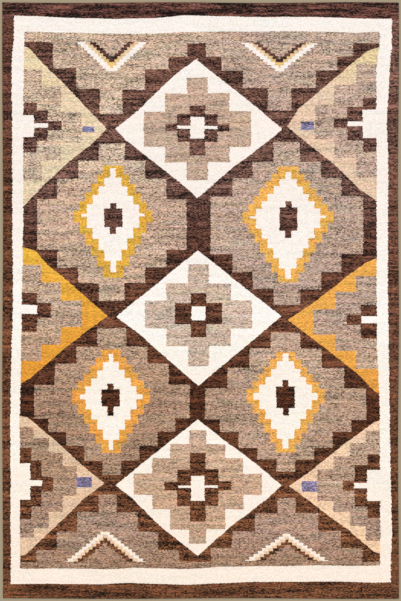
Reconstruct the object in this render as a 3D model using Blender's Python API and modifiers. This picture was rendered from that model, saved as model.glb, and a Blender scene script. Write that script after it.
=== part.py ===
"""A flat-woven wool rug, lying flat.

The rug is one sheet of weft-faced tapestry weave. Its coloured areas are woven
into each other, so nothing is cut, sewn on or fitted, and it is one closed solid.
Its sides and ends wander a little, as a hand-woven edge does, and the rim is
rounded where the weft turns back round the outer warps.

Units are metres. +X runs across the rug, +Y runs along its warps and +Z is up.
The underside is flat on z = 0, and the origin is the middle of the underside.
"""

import math

import bpy
import numpy as np

NAME = "rug"

# Driving dimensions
RUG_WIDTH = 1.020
RUG_LENGTH = 1.534
RUG_THICKNESS = 0.0030
RIM_ROUNDING = 0.0012
RIM_SEGMENTS = 3

# Cells of the flat grid that the sheet starts from
CELLS_ACROSS = 18
CELLS_ALONG = 27

# The slow wander of each edge: how far, over what length, and where it starts
EDGE_WANDER = {
    "left": {"reach": 0.0010, "wavelength": 0.92, "start": 0.20},
    "right": {"reach": 0.0012, "wavelength": 0.71, "start": 1.90},
    "near": {"reach": 0.0009, "wavelength": 0.63, "start": 0.60},
    "far": {"reach": 0.0010, "wavelength": 0.48, "start": 2.70},
}

# Plain wool, as the grey ground of the rug
WOOL_COLOUR = (0.36, 0.28, 0.23, 1.0)
WOOL_ROUGHNESS = 0.95


def clear_scene():
    """Take away the objects that a new scene starts with."""
    for obj in list(bpy.data.objects):
        bpy.data.objects.remove(obj, do_unlink=True)


def new_collection(name):
    """Return a new collection that is linked to the scene."""
    collection = bpy.data.collections.new(name)
    bpy.context.scene.collection.children.link(collection)
    return collection


def wool_material(name):
    """Return the plain wool finish, which has no metal and no gloss."""
    material = bpy.data.materials.new(name)
    material.use_nodes = True
    shader = material.node_tree.nodes["Principled BSDF"]
    shader.inputs["Base Color"].default_value = WOOL_COLOUR
    shader.inputs["Roughness"].default_value = WOOL_ROUGHNESS
    shader.inputs["Metallic"].default_value = 0.0
    material.diffuse_color = WOOL_COLOUR
    return material


def wander(edge, along):
    """How far an edge is out of line, as a sine of the distance along it."""
    wave = EDGE_WANDER[edge]
    turns = along / wave["wavelength"]
    return wave["reach"] * np.sin(2.0 * math.pi * turns + wave["start"])


def bend_edges(points):
    """Move a flat rectangle's points so that its four edges wander.

    Each point moves by the wander of the two edges that it lies between,
    shared out by how near it is to each of them.
    """
    x = points[:, 0].copy()
    y = points[:, 1].copy()
    to_right = x / RUG_WIDTH + 0.5
    to_far = y / RUG_LENGTH + 0.5
    points[:, 0] += wander("left", y) * (1.0 - to_right) + wander("right", y) * to_right
    points[:, 1] += wander("near", x) * (1.0 - to_far) + wander("far", x) * to_far


def fit_outline(points):
    """Centre the outline's box on the origin, and bring it to the rug's own size."""
    low = points[:, :2].min(axis=0)
    high = points[:, :2].max(axis=0)
    full_size = np.array([RUG_WIDTH, RUG_LENGTH])
    points[:, :2] = (points[:, :2] - 0.5 * (low + high)) * full_size / (high - low)


def build_rug(collection):
    """One sheet: a flat grid with wandering edges, thickened and rounded at its rim."""
    bpy.ops.mesh.primitive_grid_add(
        x_subdivisions=CELLS_ACROSS,
        y_subdivisions=CELLS_ALONG,
        size=1.0,
        location=(0.0, 0.0, 0.0),
    )
    rug = bpy.context.object
    rug.name = NAME
    rug.data.name = NAME

    mesh = rug.data
    points = np.empty(len(mesh.vertices) * 3)
    mesh.vertices.foreach_get("co", points)
    points = points.reshape(-1, 3)
    points[:, 0] *= RUG_WIDTH
    points[:, 1] *= RUG_LENGTH
    bend_edges(points)
    fit_outline(points)
    mesh.vertices.foreach_set("co", points.ravel())
    mesh.update()

    thicken = rug.modifiers.new("thickness", "SOLIDIFY")
    thicken.thickness = RUG_THICKNESS
    thicken.offset = 1.0
    thicken.use_even_offset = False

    round_rim = rug.modifiers.new("rounded rim", "BEVEL")
    round_rim.width = RIM_ROUNDING
    round_rim.segments = RIM_SEGMENTS
    round_rim.limit_method = "ANGLE"
    round_rim.angle_limit = math.radians(45.0)

    rug.data.materials.append(wool_material("grey_wool"))
    for owner in list(rug.users_collection):
        owner.objects.unlink(rug)
    collection.objects.link(rug)
    return rug


def main():
    clear_scene()
    collection = new_collection(NAME)
    build_rug(collection)


main()
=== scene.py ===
"""A tapestry-woven wool rug, seen square on from above.

The cloth is one closed sheet worked out with numpy, with a rib over every warp.
Its design is laid in nodes: each motif is a profile, how far it reaches to each
side at each place along the rug, and later motifs cover earlier ones. Lengths in
the design's tables are millimetres from the middle of the rug, +across to the
right and +along away from the viewer.
"""

import math

import bpy
import numpy as np
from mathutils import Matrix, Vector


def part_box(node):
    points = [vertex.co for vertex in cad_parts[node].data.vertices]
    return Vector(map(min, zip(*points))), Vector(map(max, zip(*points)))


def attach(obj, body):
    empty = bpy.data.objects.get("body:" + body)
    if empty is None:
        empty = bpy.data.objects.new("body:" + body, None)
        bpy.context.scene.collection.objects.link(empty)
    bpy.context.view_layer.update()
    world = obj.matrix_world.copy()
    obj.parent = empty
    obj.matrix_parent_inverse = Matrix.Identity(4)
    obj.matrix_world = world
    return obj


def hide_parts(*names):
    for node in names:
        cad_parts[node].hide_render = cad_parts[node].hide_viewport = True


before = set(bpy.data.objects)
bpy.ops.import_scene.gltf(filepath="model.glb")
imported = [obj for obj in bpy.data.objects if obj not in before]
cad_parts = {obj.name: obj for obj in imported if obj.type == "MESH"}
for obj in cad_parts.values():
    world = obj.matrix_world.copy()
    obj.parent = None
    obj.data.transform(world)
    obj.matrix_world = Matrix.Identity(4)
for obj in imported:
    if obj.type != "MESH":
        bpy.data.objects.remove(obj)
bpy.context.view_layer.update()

MM = 0.001

# The sheet, from the solid that it dresses
rug_low, rug_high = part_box("rug")
RUG_WIDTH = rug_high[0] - rug_low[0]
RUG_LENGTH = rug_high[1] - rug_low[1]
RUG_THICKNESS = rug_high[2] - rug_low[2]

# The slow wander of each edge, as on the solid: how far, over what length, and
# where it starts
EDGE_WANDER = {
    "left": {"reach": 0.0010, "wavelength": 0.92, "start": 0.20},
    "right": {"reach": 0.0012, "wavelength": 0.71, "start": 1.90},
    "near": {"reach": 0.0009, "wavelength": 0.63, "start": 0.60},
    "far": {"reach": 0.0010, "wavelength": 0.48, "start": 2.70},
}

# The weave
WARP_COUNT = 260
WARP_PITCH = RUG_WIDTH / WARP_COUNT
PICK_PITCH = 1.15 * MM
RIB_HEIGHT = 0.22 * MM

# The sheet's grid: its columns and rows, and where extra ones lie in the rounded
# rim, as shares of the rim's width from the edge
COLUMNS_PER_WARP = 3
ROWS = 52
RIM_STEPS = (0.0, 0.06, 0.20, 0.45, 0.75)

# Wools, in the order that the design numbers them. Numbers that differ by less than
# SAME_NUMBER are taken for the same wool.
WOOLS = ["brown", "border brown", "far brown", "ivory", "grey", "diamond grey", "gold",
         "side wool left", "side wool right", "chevron tan", "blue"]
SAME_NUMBER = 0.4


def number_of(wool):
    """The number that stands for a wool in the design."""
    return float(WOOLS.index(wool))


# Motifs. A "middle" is (across, along). A terrace is (how far it reaches to each
# side, how far it runs away from the viewer, how far it runs towards the viewer),
# all from the motif's middle. Rows of a diamond's "sides" are (along, reach to the
# left, reach to the right) from "across".
IVORY_DIAMONDS = [
    {
        "across": -8,
        "sides": [
            (264, 0, 0), (283, 20, 24), (337, 86, 85), (411, 183, 184), (441, 211, 219),
            (488, 153, 163), (584, 53, 41), (618, 6, 0), (622, 0, 0),
        ],
        "middle": (-8, 441),
        "diamond grey": [(138, 44, 46), (83, 91, 86), (27, 131, 132)],
        "brown": [(82, 13, 6), (52, 38, 34), (20, 60, 69)],
        "ivory": [(51, 8, 0), (18, 31, 25)],
    },
    {
        "across": -6,
        "sides": [(-219, 0, 0), (-87, 151, 159), (-41, 211, 214), (39, 111, 112), (129, 0, 0)],
        "middle": (-5, -41),
        "diamond grey": [(138, 40, 31), (83, 85, 77), (27, 133, 128)],
        "brown": [(61, 34, 20), (20, 60, 53)],
        "ivory": [(18, 26, 10)],
    },
    {
        "across": -7,
        "sides": [
            (-656, 0, 0), (-578, 98, 89), (-504, 175, 184), (-476, 211, 216), (-414, 137, 142),
            (-306, 0, 0),
        ],
        "middle": (-7, -476),
        "diamond grey": [(165, 30, 25), (117, 70, 62), (71, 107, 113), (22, 142, 150)],
        "brown": [(86, 10, 13), (53, 42, 53), (20, 84, 93)],
        "ivory": [(51, 0, 6), (17, 25, 40)],
    },
]

# Half diamonds stand on the ivory border, on the left where "side" is -1 and on the
# right where it is 1. Their reaches are how near each part comes to the middle line
# of the rug, and rows of "sides" are (along, reach). OUTSIDE is off the rug.
OUTSIDE = 540
HALF_DIAMONDS = [
    {
        "side": -1, "along": 441,
        "sides": [
            (238, 460), (301, 399), (365, 330), (399, 284), (441, 241), (566, 360), (625, 420),
            (646, 437), (657, 460),
        ],
        "grey": [(306, 44, 36), (359, 107, 80), (408, 152, 129)],
        "brown": [(357, 20, 4), (393, 48, 31), (421, 68, 60)],
        "ivory": [(392, 14, -3), (428, 36, 21)],
        "blue": {"across": 289, "along": 439, "half": (16, 7)},
    },
    {
        "side": 1, "along": 447,
        "sides": [
            (250, 460), (285, 410), (352, 341), (447, 223), (494, 253), (530, 296), (640, 428),
            (652, 460),
        ],
        "grey": [(294, 56, 32), (343, 106, 81), (400, 159, 132)],
        "brown": [(343, 21, 3), (377, 51, 35), (418, 73, 65)],
        "ivory": [(378, 13, -1), (417, 43, 29)],
        "blue": {"across": 275, "along": 449, "half": (17, 11)},
    },
    {
        "side": -1, "along": -39,
        "sides": [
            (-212, 460), (-199, 437), (-126, 354), (-39, 239), (64, 358), (95, 397), (127, 422),
            (139, 460),
        ],
        "grey": [(305, 39, 29), (359, 86, 74), (409, 131, 116)],
        "brown": [(384, 34, 5), (420, 59, 41)],
        "ivory": [(420, 28, -5)],
    },
    {
        "side": 1, "along": -50,
        "sides": [
            (-240, 460), (-233, 448), (-195, 411), (-129, 330), (-50, 225), (-13, 280),
            (98, 426), (112, 460),
        ],
        "grey": [(291, 27, 38), (346, 71, 80), (400, 112, 127)],
        "brown": [(376, 13, 13), (412, 38, 49)],
        "ivory": [(413, 9, 9)],
    },
    {
        "side": -1, "along": -469,
        "sides": [
            (-657, 466), (-654, 450), (-596, 388), (-512, 302), (-469, 246), (-442, 283),
            (-352, 382), (-301, 443), (-296, 466),
        ],
        "grey": [(318, 43, 34), (354, 78, 75), (390, 115, 118), (428, 143, 142)],
        "brown": [(379, 15, 22), (409, 57, 61), (435, 91, 94)],
        "ivory": [(408, 6, 9), (438, 50, 44)],
        "blue": {"across": 299, "along": -467, "half": (20, 13)},
    },
    {
        "side": 1, "along": -477,
        "sides": [
            (-652, 466), (-646, 446), (-594, 384), (-477, 228), (-437, 285), (-363, 377),
            (-311, 448), (-307, 466),
        ],
        "grey": [(300, 43, 39), (341, 76, 68), (384, 110, 104), (424, 142, 142)],
        "brown": [(366, 13, 12), (396, 53, 54), (429, 81, 84)],
        "ivory": [(395, 8, 6), (428, 41, 39)],
        "blue": {"across": 280, "along": -478, "half": (20, 14)},
    },
]

# Grey grounds on the brown, each with a gold and an ivory lozenge and a brown block.
# The first step of a lozenge is its widest. Each later one is narrower by
# LOZENGE_RUN and longer by "rise". "first" and "rise" are (away from the viewer,
# towards the viewer), and "nib" is a terrace on the block.
LOZENGE_RUN = 15.0
GROUNDS = [
    {
        "middle": (-228, 197),
        "grey": [(33, 206, 199), (86, 163, 153), (140, 115, 112), (192, 63, 68)],
        "lozenge_middle": (-225, 219),
        "gold": {"steps": 6, "narrowest": 26.5, "first": (12, 19), "rise": (23.0, 28.3)},
        "ivory": {"steps": 6, "narrowest": 7.0, "first": (4, 4), "rise": (23.2, 28.5)},
        "block": {"middle": (-224, 213), "half": (23.5, 24), "nib": (8, 38, 42)},
    },
    {
        "middle": (222, 192),
        "grey": [(34, 216, 203), (88, 164, 163), (140, 123, 121), (196, 75, 74)],
        "lozenge_middle": (225, 214),
        "gold": {"steps": 7, "narrowest": 27.0, "first": (15, 15), "rise": (19.4, 25.4)},
        "ivory": {"steps": 7, "narrowest": 7.5, "first": (3, 3), "rise": (19.0, 25.8)},
        "block": {"middle": (226, 209), "half": (23, 30), "nib": (8, 45, 49)},
    },
    {
        "middle": (-228, -256),
        "grey": [(37, 185, 154), (91, 137, 118), (146, 93, 82), (200, 38, 47), (163, 38, 82),
                 (117, 38, 118), (71, 38, 156), (24, 38, 193)],
        "lozenge_middle": (-230, -248),
        "gold": {"steps": 6, "narrowest": 25.0, "first": (20, 19), "rise": (20.3, 25.0)},
        "ivory": {"steps": 6, "narrowest": 5.5, "first": (6, 6), "rise": (21.0, 26.0)},
        "block": {"middle": (-231, -251), "half": (23.5, 22), "nib": (8, 37, 46)},
    },
    {
        "middle": (219, -256),
        "grey": [(38, 172, 154), (93, 132, 118), (150, 82, 82), (207, 30, 50), (169, 30, 82),
                 (121, 30, 123), (73, 30, 154), (24, 30, 185)],
        "lozenge_middle": (219, -246),
        "gold": {"steps": 6, "narrowest": 25.0, "first": (19, 19), "rise": (19.0, 25.2)},
        "ivory": {"steps": 6, "narrowest": 7.5, "first": (9, 9), "rise": (20.3, 25.2)},
        "block": {"middle": (219, -249), "half": (24, 28), "nib": (7.5, 45, 47)},
    },
]

# Stepped pyramids at the ends. The far left one has its own steps on its left.
PYRAMIDS = [
    {
        "middle": (-229, 661),
        "steps": [(195, 60, 35), (147, 60, 67), (86, 60, 120), (28, 60, 183)],
        "left": [(150, 60, 64), (90, 60, 118), (30, 60, 183)],
    },
    {
        "middle": (203, 661),
        "steps": [(189, 60, 35), (149, 60, 71), (94, 60, 115), (30, 60, 172)],
    },
    {
        "middle": (-239, -672),
        "steps": [(23, 173, 60), (78, 127, 60), (130, 77, 60), (184, 29, 60)],
    },
    {
        "middle": (221, -672),
        "steps": [(23, 163, 60), (82, 125, 60), (140, 78, 60), (195, 35, 60)],
    },
]

# The places along the rug where the grey strips at the field's two ends begin. A
# narrow brown block makes the far one begin a little later in its left corner.
FAR_STRIP = 661
NEAR_STRIP = -672
FAR_CORNER = {"middle": (-425, 661), "half": (42, 4)}

# Chevrons: nested bands of ivory, tan and brown. "spread" is the half width of
# the outside at "tip", and it grows by "slope" for each millimetre from there.
CHEVRON_STEP = 7.6
CHEVRONS = [
    {"middle": -228, "tip": 589, "end": 664, "spread": 15, "slope": 1.06, "bands": (19, 13, 16)},
    {"middle": 203, "tip": 590, "end": 662, "spread": 12, "slope": 1.27, "bands": (19, 13, 16)},
    {"middle": -245, "tip": -595, "end": -672, "spread": 12, "slope": 1.23, "bands": (14, 12, 18)},
    {"middle": 222, "tip": -599, "end": -670, "spread": 10, "slope": 1.42, "bands": (15, 13, 16)},
]

# The ivory border's edges bend a little. Their points are (place along that side,
# distance from the rug's edge). Outside them the border brown gives way to the far
# brown beyond FAR_BROWN_FROM along the rug.
FAR_BROWN_FROM = 721
BORDER = {
    "left": {
        "outer": [(-770, 22), (-200, 22), (0, 28), (250, 26), (620, 25), (670, 30)],
        "inner": [(-680, 46), (-280, 46), (190, 54), (480, 54), (670, 57)],
    },
    "right": {
        "outer": [(-680, 21), (-600, 18), (-310, 23), (0, 28), (385, 28), (450, 31), (620, 22),
                  (650, 18)],
        "inner": [(-680, 48), (-520, 48), (-260, 49), (-110, 57), (300, 57), (600, 58), (665, 49)],
    },
    "far": {
        "outer": [(-480, 35), (-220, 43), (-120, 42), (-50, 34), (140, 38), (360, 39), (420, 43)],
        "inner": [(-430, 76), (-170, 82), (0, 76), (310, 75), (400, 79), (450, 76)],
    },
    "near": {
        "outer": [(-490, 39), (-255, 38), (-170, 41), (-40, 37), (140, 44), (350, 45), (440, 43)],
        "inner": [(-430, 78), (-210, 77), (-170, 80), (-50, 76), (50, 82), (260, 86), (440, 85)],
    },
}

# The weaver's batches of each wool as the rug grows, as (place along, red, green,
# blue) in screen colours from 0 to 255. One batch runs into the next.
WOOL_COLOURS = {
    "brown": [(-700, 104, 64, 39), (-480, 98, 60, 38), (-270, 69, 36, 19), (-60, 95, 58, 40),
              (170, 83, 52, 41), (310, 102, 72, 63), (560, 97, 66, 55), (690, 88, 57, 47)],
    "border brown": [(-700, 99, 60, 37), (-400, 105, 65, 42), (150, 99, 60, 38), (550, 89, 56, 44)],
    "far brown": [(740, 75, 46, 39)],
    "ivory": [(-640, 254, 238, 222), (-330, 254, 245, 233), (-200, 253, 242, 229),
              (-50, 254, 249, 241), (300, 253, 241, 231), (600, 252, 243, 235)],
    "grey": [(-670, 163, 129, 105), (-600, 170, 139, 119), (-450, 171, 138, 113),
             (-260, 168, 134, 110), (-120, 182, 150, 126), (0, 192, 165, 141),
             (250, 195, 163, 141), (400, 203, 180, 157), (600, 199, 171, 148)],
    "diamond grey": [(-640, 190, 157, 130), (-480, 203, 167, 138), (-200, 198, 171, 150),
                     (-40, 208, 184, 165), (270, 195, 166, 144), (620, 196, 167, 146)],
    "gold": [(-150, 230, 161, 73), (80, 226, 173, 68)],
    "side wool left": [(-290, 228, 194, 162), (-215, 229, 154, 54), (-60, 231, 161, 57),
                       (135, 236, 182, 66), (238, 229, 206, 172), (520, 234, 211, 176),
                       (640, 234, 212, 170)],
    "side wool right": [(-660, 247, 205, 168), (-320, 240, 205, 174), (-235, 228, 155, 66),
                        (-100, 237, 171, 77), (112, 236, 171, 82), (250, 231, 198, 168),
                        (530, 231, 202, 175), (655, 231, 207, 155)],
    "chevron tan": [(-590, 240, 204, 170), (590, 236, 192, 96), (640, 232, 200, 160)],
    "blue": [(-470, 120, 110, 141), (440, 133, 127, 166)],
}

# The same for wools whose batches differ on the right of the rug. One side's give
# way to the other's within SIDE_BLEND of the middle.
SIDE_BLEND = 0.12
RIGHT_COLOURS = {
    "border brown": [(-400, 103, 63, 40), (250, 102, 67, 53), (550, 111, 78, 68)],
    "gold": [(-150, 236, 171, 84), (80, 234, 175, 86)],
    "grey": [(-670, 163, 128, 104), (-600, 172, 140, 121), (-460, 186, 154, 131),
             (-260, 178, 147, 125), (-150, 190, 161, 138), (-30, 182, 155, 138),
             (250, 183, 156, 139), (400, 190, 163, 145)],
    "blue": [(-470, 139, 126, 156), (440, 135, 129, 163)],
}

# How much each wool varies from bead to bead, in streaks across the rug, and in hue
WOOL_VARIATION = {
    "brown": {"bead": 3.80, "streak": 7.0, "hue": 0.14},
    "border brown": {"bead": 2.80, "streak": 4.8, "hue": 0.45},
    "far brown": {"bead": 4.60, "streak": 13.0, "hue": 0.20},
    "ivory": {"bead": 0.22, "streak": 0.16, "hue": 0.12},
    "grey": {"bead": 1.60, "streak": 1.45, "hue": 0.36},
    "diamond grey": {"bead": 1.20, "streak": 1.10, "hue": 0.34},
    "gold": {"bead": 0.90, "streak": 0.90, "hue": 0.50},
    "side wool left": {"bead": 0.75, "streak": 0.60, "hue": 0.24},
    "side wool right": {"bead": 0.75, "streak": 0.55, "hue": 0.24},
    "chevron tan": {"bead": 0.45, "streak": 0.20, "hue": 0.20},
    "blue": {"bead": 1.80, "streak": 2.20, "hue": 0.35},
}

# Streaks. A short run is alike for the two picks of one weft there and back, and a
# long run for a few turns. Rows of the noise lie far apart, so that neighbouring
# picks and turns are unlike. Bands and patches are stretched (across, along, up).
SHORT_RUN = 24.0 * MM
SHORT_RUN_PICKS = 2
SHORT_RUN_SPACING = 5.17
LONG_RUN = 130.0 * MM
LONG_RUN_PICKS = 4
LONG_RUN_SPACING = 3.71
BAND_SIZE = 75.0 * MM
BAND_STRETCH = (0.35, 4.0, 0.0)
PATCH_SIZE = 38.0 * MM
PATCH_STRETCH = (1.0, 3.0, 0.0)

# How much each of them adds to the streaks and to the hue
STREAK_FROM_SHORT_RUN = 0.5
STREAK_FROM_LONG_RUN = 0.7
STREAK_FROM_BAND = 0.5
HUE_FROM_PATCH = 0.7
HUE_FROM_LONG_RUN = 0.9
HUE_FROM_BEAD = 0.35

# A bead's light, with painted shade: its round top is painted paler than its edges. MEAN_ROUND is
# the mean over a bead of its round top.
DARKEST_BEAD = 0.08
PAINTED_ROUND_SHADE = 0.45
MEAN_ROUND = 0.637
FIBRE_SIZE = 1.6 * MM
FIBRE_STRETCH = (1.0, 2.0, 0.0)
FIBRE_SHADE = 0.5

# The relief. The uneven cloth rises by up to UNEVEN_HEIGHT times a bead's round top.
UNEVEN_SIZE = 9.0 * MM
UNEVEN_STRETCH = (1.0, 3.0, 0.0)
UNEVEN_HEIGHT = 1.3
BUMP_STRENGTH = 0.5
BUMP_HEIGHT = 0.18 * MM

# Surfaces and the studio. WHITE_LEVEL is how bright white looks in its light.
WHITE_LEVEL = 1.22
WOOL_ROUGHNESS = 0.92
WOOL_SPECULAR = 0.18
FLOOR_COLOUR = (170, 155, 130)
FLOOR_ROUGHNESS = 0.9
FLOOR_SPECULAR = 0.1
FLOOR_SIZE = 14.0
FLOOR_GAP = 0.5 * MM
FILL_STRENGTH = 0.70
LAMP_STRENGTH = 2.0
LAMP_SPREAD = math.radians(50.0)
LAMP_PLACE = (-1.6, 2.0, 3.6)

# Hand-woven unevenness of the design: how far it wavers in all and over what length,
# how long the teeth of a join are, how far apart they lie, and how far each runs
WAVER_SIZE = 90 * MM
WAVER_ACROSS = 3.0 * MM
WAVER_ALONG = 5.0 * MM
JOIN_TOOTH = 2.6 * MM
JOIN_PITCH = 3.6 * MM
JOIN_PATCH = 50.0 * MM

# A profile's ramp goes on past both ends of the profile by this
PROFILE_MARGIN = 4 * MM

# The photo's height and the rug's width in it, in pixels, and the camera's lens and
# sensor in millimetres
PHOTO_HEIGHT = 601
RUG_WIDTH_IN_PHOTO = 396.8
LENS = 100.0
SENSOR = 36.0


class Bench:
    """Adds nodes to one tree and joins them up."""

    def __init__(self, tree):
        self.tree = tree

    def node(self, kind, **settings):
        """A new node with its settings."""
        made = self.tree.nodes.new(kind)
        for name, value in settings.items():
            setattr(made, name, value)
        return made

    def feed(self, socket, value):
        """Link an output to the socket, or set the socket to a plain value."""
        if isinstance(value, bpy.types.NodeSocket):
            self.tree.links.new(value, socket)
        elif value is not None:
            socket.default_value = value

    def math(self, operation, first, second=None, third=None):
        """The result of one operation on up to three values."""
        made = self.node("ShaderNodeMath", operation=operation)
        for socket, value in zip(made.inputs, (first, second, third)):
            self.feed(socket, value)
        return made.outputs[0]

    def centred(self, value, spread):
        """A value from 0 to 1 as one from minus half the spread to plus half of it."""
        return self.math("MULTIPLY_ADD", value, spread, -0.5 * spread)

    def separate(self, vector):
        """The three parts of a vector or of a colour."""
        made = self.node("ShaderNodeSeparateXYZ")
        self.feed(made.inputs[0], vector)
        return made.outputs

    def combine(self, x, y, z=0.0):
        """A vector of three parts."""
        made = self.node("ShaderNodeCombineXYZ")
        for socket, value in zip(made.inputs, (x, y, z)):
            self.feed(socket, value)
        return made.outputs[0]

    def choose(self, mask, without, with_mask):
        """A number that is one value where the mask is 0 and the other where it is 1."""
        made = self.node("ShaderNodeMix", data_type="FLOAT")
        self.feed(made.inputs[0], mask)
        self.feed(made.inputs[2], without)
        self.feed(made.inputs[3], with_mask)
        return made.outputs[0]

    def blend(self, mask, first, second):
        """A colour between two colours."""
        made = self.node("ShaderNodeMix", data_type="RGBA")
        self.feed(made.inputs[0], mask)
        self.feed(made.inputs[6], first)
        self.feed(made.inputs[7], second)
        return made.outputs[2]

    def noise(self, place, scale, detail, output=0):
        """Smooth noise from 0 to 1. Output 1 is a colour with three of them."""
        made = self.node("ShaderNodeTexNoise")
        self.feed(made.inputs["Vector"], place)
        made.inputs["Scale"].default_value = scale
        made.inputs["Detail"].default_value = detail
        return made.outputs[output]

    def stretch(self, place, factors):
        """A place with each of its axes multiplied by its own factor."""
        made = self.node("ShaderNodeVectorMath", operation="MULTIPLY")
        self.feed(made.inputs[0], place)
        made.inputs[1].default_value = factors
        return made.outputs[0]

    def ramp(self, place, stops, interpolation="LINEAR"):
        """A colour ramp with stops of (position from 0 to 1, colour and alpha)."""
        made = self.node("ShaderNodeValToRGB")
        elements = made.color_ramp.elements
        made.color_ramp.interpolation = interpolation
        elements.remove(elements[1])
        elements[0].position = stops[0][0]
        elements[0].color = stops[0][1]
        for position, colour in stops[1:]:
            element = elements.new(position)
            element.color = colour
        self.feed(made.inputs[0], place)
        return made.outputs

    def colour_ramp(self, place, stops):
        """A smooth ramp with stops of (position from 0 to 1, red, green, blue)."""
        filled = [(position, tuple(colour) + (1.0,)) for position, *colour in stops]
        return self.ramp(place, filled)[0]

    def number_ramp(self, place, stops, interpolation="LINEAR"):
        """A ramp of plain numbers, held in the alpha, which is a number already."""
        filled = [(position, (0.0, 0.0, 0.0, number)) for position, number in stops]
        return self.ramp(place, filled, interpolation)[1]


def new_group(name, inputs, outputs):
    """A shader group with named sockets, and a bench to build it on."""
    tree = bpy.data.node_groups.new(name, "ShaderNodeTree")
    for socket_name, kind in inputs:
        tree.interface.new_socket(socket_name, in_out="INPUT", socket_type=kind)
    for socket_name, kind in outputs:
        tree.interface.new_socket(socket_name, in_out="OUTPUT", socket_type=kind)
    bench = Bench(tree)
    given = bench.node("NodeGroupInput").outputs
    return tree, bench, given


def put_out(bench, **values):
    """Join the values to the group's named outputs."""
    out = bench.node("NodeGroupOutput")
    for name, value in values.items():
        bench.feed(out.inputs[name.replace("_", " ").capitalize()], value)


def use_group(bench, tree, **values):
    """Place a group on a bench with its named inputs, and return its outputs."""
    made = bench.node("ShaderNodeGroup", node_tree=tree)
    for name, value in values.items():
        bench.feed(made.inputs[name.replace("_", " ").capitalize()], value)
    return made.outputs


# Profiles

def stepped_rows(terraces, outside):
    """Rows of (along, reach) where the reach of a stack of terraces changes.

    Between two neighbouring ends of terraces the reach is the one that goes
    furthest from "outside": the largest if outside is 0, or else the smallest.
    """
    further = max if outside == 0 else min
    ends = sorted({far for _, far, _ in terraces} | {-near for _, _, near in terraces})
    rows = [(ends[0] - 1.0, outside)]
    for low, high in zip(ends, ends[1:]):
        middle = 0.5 * (low + high)
        inside = [reach for reach, far, near in terraces if -near < middle < far]
        rows.append((low, further(inside, default=outside)))
    rows.append((ends[-1], outside))
    return rows


def lozenge_terraces(lozenge):
    """The terraces of a lozenge, from its widest step to its narrowest."""
    first_far, first_near = lozenge["first"]
    rise_far, rise_near = lozenge["rise"]
    last = lozenge["steps"] - 1
    return [
        (
            lozenge["narrowest"] + LOZENGE_RUN * (last - step),
            first_far + rise_far * step,
            first_near + rise_near * step,
        )
        for step in range(lozenge["steps"])
    ]


class Design:
    """Lays motifs over one another. Its wool socket numbers the wool at each place."""

    def __init__(self, bench, across, along):
        self.bench = bench
        self.across = across
        self.along = along
        self.wool = number_of("brown")

    def lay(self, mask, wool):
        """Cover the places where the mask is 1."""
        self.wool = self.bench.choose(mask, self.wool, number_of(wool))

    def reach_at(self, rows, middle_along, interpolation="CONSTANT"):
        """The profile's reach at each place along the rug."""
        low = (middle_along + rows[0][0]) * MM - PROFILE_MARGIN
        high = (middle_along + rows[-1][0]) * MM + PROFILE_MARGIN
        scale = 1.0 / (high - low)
        place = self.bench.math("MULTIPLY_ADD", self.along, scale, -low * scale)
        stops = []
        for row_along, reach in rows:
            position = ((middle_along + row_along) * MM - low) * scale
            stops.append((position, reach * MM))
        return self.bench.number_ramp(place, stops, interpolation)

    def distance_from(self, middle_across):
        """How far each place is from a line along the rug."""
        offset = self.bench.math("SUBTRACT", self.across, middle_across * MM)
        return self.bench.math("ABSOLUTE", offset)

    def lay_between(self, middle_across, left, right, wool):
        """Cover the places between the left reach and the right one."""
        offset = self.bench.math("SUBTRACT", self.across, middle_across * MM)
        inside_right = self.bench.math("LESS_THAN", offset, right)
        inside_left = self.bench.math("LESS_THAN", self.bench.math("MULTIPLY", offset, -1.0), left)
        self.lay(self.bench.math("MULTIPLY", inside_left, inside_right), wool)

    def lay_steps(self, distance, terraces, middle_along, wool):
        """Cover a stack of terraces that is alike on its left and its right."""
        reach = self.reach_at(stepped_rows(terraces, 0), middle_along)
        self.lay(self.bench.math("LESS_THAN", distance, reach), wool)

    def lay_block(self, middle, half, wool):
        """A plain rectangle."""
        self.lay_steps(self.distance_from(middle[0]), [(half[0], half[1], half[1])], middle[1], wool)


def lay_ivory_diamond(design, motif):
    """A straight-sided ivory diamond with terraces of grey, brown and ivory in it."""
    left = [(along, reach) for along, reach, _ in motif["sides"]]
    right = [(along, reach) for along, _, reach in motif["sides"]]
    left_reach = design.reach_at(left, 0, "LINEAR")
    right_reach = design.reach_at(right, 0, "LINEAR")
    design.lay_between(motif["across"], left_reach, right_reach, "ivory")
    middle_across, middle_along = motif["middle"]
    distance = design.distance_from(middle_across)
    for wool in ("diamond grey", "brown", "ivory"):
        design.lay_steps(distance, motif[wool], middle_along, wool)


def lay_half_diamond(design, motif):
    """A dyed half diamond that stands on the side border, with terraces in it."""
    bench = design.bench
    side = motif["side"]
    dyed = "side wool right" if side > 0 else "side wool left"
    distance = bench.math("MULTIPLY", design.across, float(side))
    nearest, furthest = motif["sides"][0][0], motif["sides"][-1][0]
    sides = [(nearest - 1, OUTSIDE), *motif["sides"], (furthest + 1, OUTSIDE)]
    reach = design.reach_at(sides, 0, "LINEAR")
    design.lay(bench.math("GREATER_THAN", distance, reach), dyed)
    for wool in ("grey", "brown", "ivory"):
        reach = design.reach_at(stepped_rows(motif[wool], OUTSIDE), motif["along"])
        design.lay(bench.math("GREATER_THAN", distance, reach), wool)
    if "blue" in motif:
        blue = motif["blue"]
        design.lay_block((blue["across"] * side, blue["along"]), blue["half"], "blue")


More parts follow.
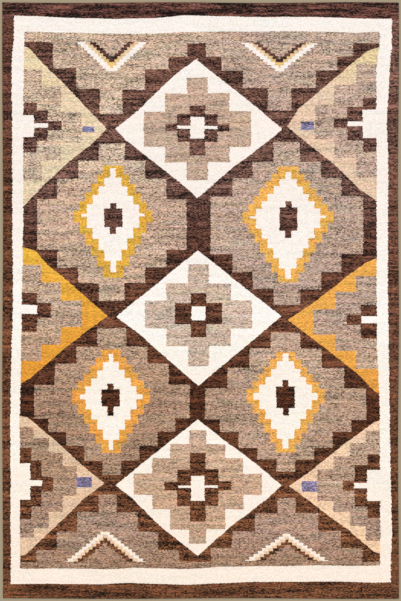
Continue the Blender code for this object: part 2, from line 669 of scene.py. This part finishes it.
def lay_ground(design, motif):
    """A grey terraced ground with a gold and ivory lozenge and a brown block."""
    middle_across, middle_along = motif["middle"]
    design.lay_steps(design.distance_from(middle_across), motif["grey"], middle_along, "grey")
    lozenge_across, lozenge_along = motif["lozenge_middle"]
    distance = design.distance_from(lozenge_across)
    for wool in ("gold", "ivory"):
        design.lay_steps(distance, lozenge_terraces(motif[wool]), lozenge_along, wool)
    block = motif["block"]
    half_across, half_along = block["half"]
    terraces = [(half_across, half_along, half_along), block["nib"]]
    design.lay_steps(design.distance_from(block["middle"][0]), terraces, block["middle"][1], "brown")


def lay_pyramid(design, motif):
    """A grey stepped pyramid. One with "left" steps has other steps on its left."""
    middle_across, middle_along = motif["middle"]
    left = design.reach_at(stepped_rows(motif.get("left", motif["steps"]), 0), middle_along)
    right = design.reach_at(stepped_rows(motif["steps"], 0), middle_along)
    design.lay_between(middle_across, left, right, "grey")


def lay_chevron(design, motif):
    """Nested bands that climb from a tip in small steps, to both sides."""
    bench = design.bench
    towards_end = 1.0 if motif["end"] > motif["tip"] else -1.0
    height = bench.math("MULTIPLY_ADD", design.along, towards_end, -motif["tip"] * MM * towards_end)
    stepped = bench.math("SNAP", height, CHEVRON_STEP * MM)
    spread = bench.math("MULTIPLY_ADD", stepped, motif["slope"], motif["spread"] * MM)
    started = bench.math("GREATER_THAN", height, 0.0)
    length = abs(motif["end"] - motif["tip"]) * MM
    unfinished = bench.math("LESS_THAN", height, length)
    open_here = bench.math("MULTIPLY", started, unfinished)
    distance = design.distance_from(motif["middle"])
    depth = 0.0
    for wool, width in zip(("ivory", "chevron tan", "brown", "grey"), motif["bands"] + (0,)):
        outside = bench.math("SUBTRACT", spread, depth * MM)
        inside = bench.math("LESS_THAN", distance, outside)
        design.lay(bench.math("MULTIPLY", inside, open_here), wool)
        depth += width


def border_mask(design, edge_name):
    """1 outside the named edge of the ivory border, on any of the four sides."""
    bench = design.bench
    half_width = 0.5 * RUG_WIDTH
    half_length = 0.5 * RUG_LENGTH
    sides = {
        "left": (design.along, half_length, bench.math("ADD", design.across, half_width)),
        "right": (design.along, half_length, bench.math("SUBTRACT", half_width, design.across)),
        "far": (design.across, half_width, bench.math("SUBTRACT", half_length, design.along)),
        "near": (design.across, half_width, bench.math("ADD", design.along, half_length)),
    }
    mask = None
    for side, (place, half, from_edge) in sides.items():
        position = bench.math("MULTIPLY_ADD", place, 0.5 / half, 0.5)
        stops = [
            (0.5 + 0.5 * at * MM / half, distance * MM)
            for at, distance in BORDER[side][edge_name]
        ]
        width = bench.number_ramp(position, stops)
        outside = bench.math("LESS_THAN", from_edge, width)
        mask = outside if mask is None else bench.math("MAXIMUM", mask, outside)
    return mask


def design_group():
    """The whole design: the number of the wool at a place on the rug."""
    tree, bench, given = new_group(
        "Rug design",
        [("Across", "NodeSocketFloat"), ("Along", "NodeSocketFloat")],
        [("Wool", "NodeSocketFloat")],
    )
    design = Design(bench, given["Across"], given["Along"])
    for motif in IVORY_DIAMONDS:
        lay_ivory_diamond(design, motif)
    for motif in HALF_DIAMONDS:
        lay_half_diamond(design, motif)
    for motif in GROUNDS:
        lay_ground(design, motif)
    for motif in PYRAMIDS:
        lay_pyramid(design, motif)
    design.lay(bench.math("GREATER_THAN", design.along, FAR_STRIP * MM), "grey")
    design.lay(bench.math("LESS_THAN", design.along, NEAR_STRIP * MM), "grey")
    design.lay_block(FAR_CORNER["middle"], FAR_CORNER["half"], "brown")
    for motif in CHEVRONS:
        lay_chevron(design, motif)
    design.lay(border_mask(design, "inner"), "ivory")
    outer = border_mask(design, "outer")
    design.lay(outer, "border brown")
    far_end = bench.math("GREATER_THAN", design.along, FAR_BROWN_FROM * MM)
    design.lay(bench.math("MULTIPLY", outer, far_end), "far brown")
    put_out(bench, wool=design.wool)
    return tree


def weft_bead_group():
    """Which bead of weft a place is on, the bead's middle, and its round top there.

    A bead is one warp wide and one pick high. Beads on odd warps lie half a pick
    nearer the viewer than those on even warps.
    """
    tree, bench, given = new_group(
        "Weft bead",
        [("Place", "NodeSocketVector")],
        [
            ("Warp", "NodeSocketFloat"),
            ("Pick", "NodeSocketFloat"),
            ("Along", "NodeSocketFloat"),
            ("Round", "NodeSocketFloat"),
        ],
    )
    across, along, _ = bench.separate(given["Place"])
    warp = bench.math("FLOOR", bench.math("DIVIDE", across, WARP_PITCH))
    shift = bench.math("MULTIPLY", bench.math("PINGPONG", warp, 1.0), 0.5)
    picks = bench.math("ADD", bench.math("DIVIDE", along, PICK_PITCH), shift)
    pick = bench.math("FLOOR", picks)
    middle = bench.math("SUBTRACT", bench.math("ADD", pick, 0.5), shift)
    middle_along = bench.math("MULTIPLY", middle, PICK_PITCH)
    top = bench.math("ABSOLUTE", bench.math("SINE", bench.math("MULTIPLY", picks, math.pi)))
    put_out(bench, warp=warp, pick=pick, along=middle_along, round=top)
    return tree


def weave_place_group(bead_group):
    """Moves a place as hand weaving does.

    The whole design wavers slowly, and each bead has one colour from end to end.
    Where colours meet along a warp, the joins are toothed by the turns of the weft.
    """
    tree, bench, given = new_group(
        "Weaver's place",
        [("Place", "NodeSocketVector")],
        [("Across", "NodeSocketFloat"), ("Along", "NodeSocketFloat")],
    )
    across, _, _ = bench.separate(given["Place"])
    along = use_group(bench, bead_group, place=given["Place"])["Along"]
    flat = bench.combine(across, along)
    slow = bench.separate(bench.noise(flat, 1.0 / WAVER_SIZE, detail=1.0, output=1))
    slow_across = bench.centred(slow[0], WAVER_ACROSS)
    slow_along = bench.centred(slow[1], WAVER_ALONG)

    turn = bench.math("FLOOR", bench.math("DIVIDE", along, JOIN_PITCH))
    patch = bench.math("FLOOR", bench.math("DIVIDE", across, JOIN_PATCH))
    uneven = bench.node("ShaderNodeTexWhiteNoise", noise_dimensions="2D")
    bench.feed(uneven.inputs["Vector"], bench.combine(turn, patch))
    join = bench.centred(uneven.outputs["Value"], JOIN_TOOTH)

    new_across = bench.math("ADD", bench.math("ADD", across, slow_across), join)
    new_along = bench.math("ADD", along, slow_along)
    put_out(bench, across=new_across, along=new_along)
    return tree


def spun_wool_group(bead_group):
    """Gives plain wool the look of hand-spun yarn.

    Each bead of weft has its own lightness and a little of its own hue, and has
    painted shade that makes it paler at its round top than at its edges. Streaks run
    across the rug, some of them grouped in bands, and the hue drifts from run to run
    of yarn and in patches.
    """
    tree, bench, given = new_group(
        "Hand-spun wool",
        [
            ("Place", "NodeSocketVector"),
            ("Colour", "NodeSocketColor"),
            ("Bead", "NodeSocketFloat"),
            ("Streak", "NodeSocketFloat"),
            ("Hue", "NodeSocketFloat"),
        ],
        [("Colour", "NodeSocketColor")],
    )
    place = given["Place"]
    across, _, _ = bench.separate(place)
    here = use_group(bench, bead_group, place=place)
    bead = bench.node("ShaderNodeTexWhiteNoise", noise_dimensions="2D")
    bench.feed(bead.inputs["Vector"], bench.combine(here["Warp"], here["Pick"]))
    bead_light = bench.math("SUBTRACT", bead.outputs["Value"], 0.5)

    there_and_back = bench.math("MULTIPLY", here["Pick"], 1.0 / SHORT_RUN_PICKS)
    there_and_back = bench.math("FLOOR", there_and_back)
    turns = bench.math("FLOOR", bench.math("MULTIPLY", here["Pick"], 1.0 / LONG_RUN_PICKS))
    short_place = bench.math("DIVIDE", across, SHORT_RUN)
    long_place = bench.math("DIVIDE", across, LONG_RUN)
    short_row = bench.math("MULTIPLY", there_and_back, SHORT_RUN_SPACING)
    in_short_run = bench.combine(short_place, short_row)
    long_row = bench.math("MULTIPLY", turns, LONG_RUN_SPACING)
    in_long_run = bench.combine(long_place, long_row)
    short = bench.noise(in_short_run, 1.0, detail=1.0)
    runs = bench.separate(bench.noise(in_long_run, 1.0, detail=1.0, output=1))
    band = bench.noise(bench.stretch(place, BAND_STRETCH), 1.0 / BAND_SIZE, detail=1.0)
    from_runs = bench.math("MULTIPLY", runs[0], STREAK_FROM_LONG_RUN)
    streaks = bench.math("MULTIPLY_ADD", short, STREAK_FROM_SHORT_RUN, from_runs)
    mean = 0.5 * (STREAK_FROM_SHORT_RUN + STREAK_FROM_LONG_RUN + STREAK_FROM_BAND)
    from_band = bench.math("MULTIPLY_ADD", band, STREAK_FROM_BAND, -mean)
    streaks = bench.math("ADD", streaks, from_band)

    change = bench.math(
        "ADD",
        bench.math("MULTIPLY", bead_light, given["Bead"]),
        bench.math("MULTIPLY", streaks, given["Streak"]),
    )
    level = bench.math("MAXIMUM", bench.math("ADD", change, 1.0), DARKEST_BEAD)

    # Painted shade: paler at a bead's round top and darker at its edges, kept so that the average
    # over a bead stays the same. The fibre noise adds random tone.
    fibre_place = bench.stretch(place, FIBRE_STRETCH)
    fibre = bench.noise(fibre_place, 1.0 / FIBRE_SIZE, detail=2.0)
    painted_shade_at_edges = 1.0 - MEAN_ROUND * PAINTED_ROUND_SHADE
    painted_round_shade_and_fibre = bench.math("MULTIPLY_ADD", here["Round"], PAINTED_ROUND_SHADE, painted_shade_at_edges)
    painted_round_shade_and_fibre = bench.math("ADD", painted_round_shade_and_fibre, bench.centred(fibre, FIBRE_SHADE))
    level = bench.math("MULTIPLY", level, painted_round_shade_and_fibre)
    scaled = bench.node("ShaderNodeVectorMath", operation="SCALE")
    bench.feed(scaled.inputs[0], given["Colour"])
    bench.feed(scaled.inputs[3], level)

    patch_place = bench.stretch(place, PATCH_STRETCH)
    patch = bench.separate(bench.noise(patch_place, 1.0 / PATCH_SIZE, detail=1.0, output=1))
    own = bench.separate(bead.outputs["Color"])
    tints = []
    for channel in (1, 2):
        hue = bench.centred(patch[channel], HUE_FROM_PATCH)
        hue = bench.math("ADD", hue, bench.centred(runs[channel], HUE_FROM_LONG_RUN))
        hue = bench.math("ADD", hue, bench.centred(own[channel], HUE_FROM_BEAD))
        tints.append(bench.math("MULTIPLY_ADD", hue, given["Hue"], 1.0))
    tinted = bench.node("ShaderNodeVectorMath", operation="MULTIPLY")
    bench.feed(tinted.inputs[0], scaled.outputs[0])
    bench.feed(tinted.inputs[1], bench.combine(tints[0], 1.0, tints[1]))
    put_out(bench, colour=tinted.outputs[0])
    return tree


def weave_relief_group(bead_group):
    """The height of the cloth: the round tops of the beads, on slightly uneven cloth."""
    tree, bench, given = new_group(
        "Weave relief",
        [("Place", "NodeSocketVector")],
        [("Height", "NodeSocketFloat")],
    )
    top = use_group(bench, bead_group, place=given["Place"])["Round"]
    uneven_place = bench.stretch(given["Place"], UNEVEN_STRETCH)
    uneven = bench.noise(uneven_place, 1.0 / UNEVEN_SIZE, detail=2.0)
    height = bench.math("MULTIPLY_ADD", uneven, UNEVEN_HEIGHT, top)
    put_out(bench, height=height)
    return tree


def linear(value):
    """A screen colour level from 0 to 255 as a light level from 0 to 1."""
    level = value / 255.0
    return level / 12.92 if level <= 0.04045 else ((level + 0.055) / 1.055) ** 2.4


def batches(bench, along, rows):
    """The colour of the batches in turn along the rug, as it must be in the studio light."""
    position = bench.math("MULTIPLY_ADD", along, 1.0 / RUG_LENGTH, 0.5)
    stops = []
    for at, *screen in rows:
        colour = [linear(level) / WHITE_LEVEL for level in screen]
        stops.append((0.5 + at * MM / RUG_LENGTH, *colour))
    return bench.colour_ramp(position, stops)


def wool_colour(bench, across, along, wool):
    """A wool's colour at each place, which may change from the left to the right."""
    colour = batches(bench, along, WOOL_COLOURS[wool])
    if wool in RIGHT_COLOURS:
        to_right = bench.node("ShaderNodeMapRange")
        bench.feed(to_right.inputs[0], across)
        to_right.inputs[1].default_value = -SIDE_BLEND
        to_right.inputs[2].default_value = SIDE_BLEND
        on_right = batches(bench, along, RIGHT_COLOURS[wool])
        colour = bench.blend(to_right.outputs[0], colour, on_right)
    return colour


def woven_wool_material():
    """The finished cloth: the design, each wool's own colour and spin, and the weave."""
    material = bpy.data.materials.new("woven_wool")
    material.use_nodes = True
    bench = Bench(material.node_tree)
    shader = material.node_tree.nodes["Principled BSDF"]

    place = bench.node("ShaderNodeTexCoord").outputs["Object"]
    bead_group = weft_bead_group()
    woven = use_group(bench, weave_place_group(bead_group), place=place)
    wool = use_group(bench, design_group(), across=woven["Across"], along=woven["Along"])["Wool"]

    colour = wool_colour(bench, woven["Across"], woven["Along"], WOOLS[0])
    for name in WOOLS[1:]:
        this_wool = bench.math("COMPARE", wool, number_of(name), SAME_NUMBER)
        its_colour = wool_colour(bench, woven["Across"], woven["Along"], name)
        colour = bench.blend(this_wool, colour, its_colour)

    step = 1.0 / len(WOOLS)
    which = bench.math("MULTIPLY_ADD", wool, step, 0.5 * step)
    amounts = {}
    for kind in ("bead", "streak", "hue"):
        stops = [(number * step, WOOL_VARIATION[name][kind]) for number, name in enumerate(WOOLS)]
        amounts[kind] = bench.number_ramp(which, stops, "CONSTANT")
    spun = use_group(bench, spun_wool_group(bead_group), place=place, colour=colour, **amounts)
    bench.feed(shader.inputs["Base Color"], spun["Colour"])

    relief = use_group(bench, weave_relief_group(bead_group), place=place)
    bump = bench.node("ShaderNodeBump")
    bump.inputs["Strength"].default_value = BUMP_STRENGTH
    bump.inputs["Distance"].default_value = BUMP_HEIGHT
    bench.feed(bump.inputs["Height"], relief["Height"])
    bench.feed(shader.inputs["Normal"], bump.outputs[0])

    shader.inputs["Roughness"].default_value = WOOL_ROUGHNESS
    shader.inputs["Specular IOR Level"].default_value = WOOL_SPECULAR
    return material


# The sheet

def wander(edge, along):
    """How far an edge is out of line, as a sine of the distance along it."""
    wave = EDGE_WANDER[edge]
    turns = along / wave["wavelength"]
    return wave["reach"] * np.sin(2.0 * math.pi * turns + wave["start"])


def spaced(length, cells, rim):
    """Places from -length/2 to +length/2: close together in the rim, then even."""
    inner = np.linspace(-0.5 * length + rim, 0.5 * length - rim, cells + 1)
    close = -0.5 * length + rim * np.array(RIM_STEPS)
    return np.concatenate([close, inner, -close[::-1]])


def rim_height(from_edge, rim):
    """Half the sheet's thickness near an edge, as a share: a quarter circle to 1."""
    inward = np.clip(from_edge / rim, 0.0, 1.0)
    return np.sqrt(1.0 - (1.0 - inward) ** 2)


def grid_faces(first, rows, columns):
    """Quads of a grid of points numbered row by row from first."""
    numbers = first + np.arange(rows * columns).reshape(rows, columns)
    corners = (numbers[:-1, :-1], numbers[:-1, 1:], numbers[1:, 1:], numbers[1:, :-1])
    return np.stack(corners, axis=-1).reshape(-1, 4)


def rug_sheet():
    """The cloth: an upper and a lower skin over one grid, which meet along the rim.

    A point's place across and along is the grid's, moved by the wander of the
    edges and then scaled back to the rug's own size. Its height is the middle
    plane plus or minus half the thickness, less a trough between every two warps,
    times a quarter circle near each edge.
    """
    rim = 0.5 * RUG_THICKNESS
    across = spaced(RUG_WIDTH, WARP_COUNT * COLUMNS_PER_WARP, rim)
    along = spaced(RUG_LENGTH, ROWS, rim)
    x, y = np.meshgrid(across, along)

    share_x = rim_height(np.minimum(x + 0.5 * RUG_WIDTH, 0.5 * RUG_WIDTH - x), rim)
    share_y = rim_height(np.minimum(y + 0.5 * RUG_LENGTH, 0.5 * RUG_LENGTH - y), rim)
    share = share_x * share_y
    trough = np.cos(2.0 * math.pi * (x + 0.5 * RUG_WIDTH) / WARP_PITCH)
    rib = 0.5 * RIB_HEIGHT * (1.0 + trough)

    to_right = x / RUG_WIDTH + 0.5
    to_far = y / RUG_LENGTH + 0.5
    moved_x = x + wander("left", y) * (1.0 - to_right) + wander("right", y) * to_right
    moved_y = y + wander("near", x) * (1.0 - to_far) + wander("far", x) * to_far
    low = np.array([moved_x.min(), moved_y.min()])
    high = np.array([moved_x.max(), moved_y.max()])
    middle = 0.5 * (low + high)
    moved_x = (moved_x - middle[0]) * RUG_WIDTH / (high[0] - low[0])
    moved_y = (moved_y - middle[1]) * RUG_LENGTH / (high[1] - low[1])

    half = (0.5 * RUG_THICKNESS - rib) * share
    upper = np.stack([moved_x, moved_y, 0.5 * RUG_THICKNESS + half], axis=-1)
    lower = np.stack([moved_x, moved_y, 0.5 * RUG_THICKNESS - half], axis=-1)

    rows, columns = x.shape
    upper_faces = grid_faces(0, rows, columns)
    lower_faces = grid_faces(rows * columns, rows, columns)[:, ::-1]

    # The lower skin's outermost points are the upper skin's, so the rim is shared
    renumber = np.arange(2 * rows * columns)
    on_rim = np.zeros((rows, columns), dtype=bool)
    on_rim[[0, -1], :] = True
    on_rim[:, [0, -1]] = True
    rim_numbers = np.flatnonzero(on_rim.ravel())
    renumber[rows * columns + rim_numbers] = rim_numbers
    faces = renumber[np.concatenate([upper_faces, lower_faces])]

    kept, faces = np.unique(faces, return_inverse=True)
    points = np.concatenate([upper.reshape(-1, 3), lower.reshape(-1, 3)])[kept]
    return points, faces.reshape(-1, 4)


def lay_out_bake(mesh):
    """One square layout for both faces, which carry the same design."""
    layout = mesh.uv_layers.new(name="OFBake")
    corners = np.empty(len(mesh.loops), dtype=np.int32)
    mesh.loops.foreach_get("vertex_index", corners)
    points = np.empty(len(mesh.vertices) * 3)
    mesh.vertices.foreach_get("co", points)
    points = points.reshape(-1, 3)
    place = points[corners, :2] / np.array([RUG_WIDTH, RUG_LENGTH]) + 0.5
    layout.data.foreach_set("uv", place.astype(np.float32).ravel())


def make_rug():
    """The dressed rug: the sheet, its layout for baking and its cloth."""
    points, faces = rug_sheet()
    mesh = bpy.data.meshes.new("woven_rug")
    mesh.from_pydata(points, [], faces)
    mesh.update()
    mesh.shade_smooth()
    lay_out_bake(mesh)
    piece = bpy.data.objects.new("woven_rug", mesh)
    bpy.context.scene.collection.objects.link(piece)
    mesh.materials.append(woven_wool_material())
    return piece


# The studio

def floor_material():
    """A plain finish that shows as FLOOR_COLOUR in the studio light."""
    material = bpy.data.materials.new("floor")
    material.use_nodes = True
    shader = material.node_tree.nodes["Principled BSDF"]
    colour = tuple(linear(level) / WHITE_LEVEL for level in FLOOR_COLOUR)
    shader.inputs["Base Color"].default_value = colour + (1.0,)
    shader.inputs["Roughness"].default_value = FLOOR_ROUGHNESS
    shader.inputs["Specular IOR Level"].default_value = FLOOR_SPECULAR
    return material


def make_floor():
    """A plain floor just under the rug."""
    half = 0.5 * FLOOR_SIZE
    corners = [(-half, -half), (half, -half), (half, half), (-half, half)]
    mesh = bpy.data.meshes.new("floor")
    mesh.from_pydata([(x, y, -FLOOR_GAP) for x, y in corners], [], [(0, 1, 2, 3)])
    floor = bpy.data.objects.new("floor", mesh)
    bpy.context.scene.collection.objects.link(floor)
    mesh.materials.append(floor_material())


def make_lights():
    """A wide soft lamp that lights the whole rug alike, and an even fill from all round."""
    world = bpy.data.worlds.new("studio")
    world.use_nodes = True
    background = world.node_tree.nodes["Background"]
    background.inputs["Color"].default_value = (1.0, 1.0, 1.0, 1.0)
    background.inputs["Strength"].default_value = FILL_STRENGTH
    bpy.context.scene.world = world

    lamp = bpy.data.lights.new("soft_lamp", "SUN")
    lamp.energy = LAMP_STRENGTH
    lamp.angle = LAMP_SPREAD
    light = bpy.data.objects.new("soft_lamp", lamp)
    light.location = LAMP_PLACE
    light.rotation_mode = "QUATERNION"
    light.rotation_quaternion = light.location.to_track_quat("Z", "Y")
    bpy.context.scene.collection.objects.link(light)


def make_camera():
    """Straight above the middle, far off, with the whole rug in the frame."""
    metres_per_pixel = RUG_WIDTH / RUG_WIDTH_IN_PHOTO
    view_height = PHOTO_HEIGHT * metres_per_pixel
    distance = view_height * LENS / SENSOR
    data = bpy.data.cameras.new("camera")
    data.lens = LENS
    data.sensor_width = SENSOR
    camera = bpy.data.objects.new("camera", data)
    camera.location = (0.0, 0.0, RUG_THICKNESS + distance)
    camera.rotation_euler = (0.0, 0.0, 0.0)
    bpy.context.scene.collection.objects.link(camera)
    bpy.context.scene.camera = camera


make_camera()
make_floor()
make_lights()
bpy.context.scene.view_settings.view_transform = "Standard"

rug = make_rug()
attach(rug, "root")
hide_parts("rug")
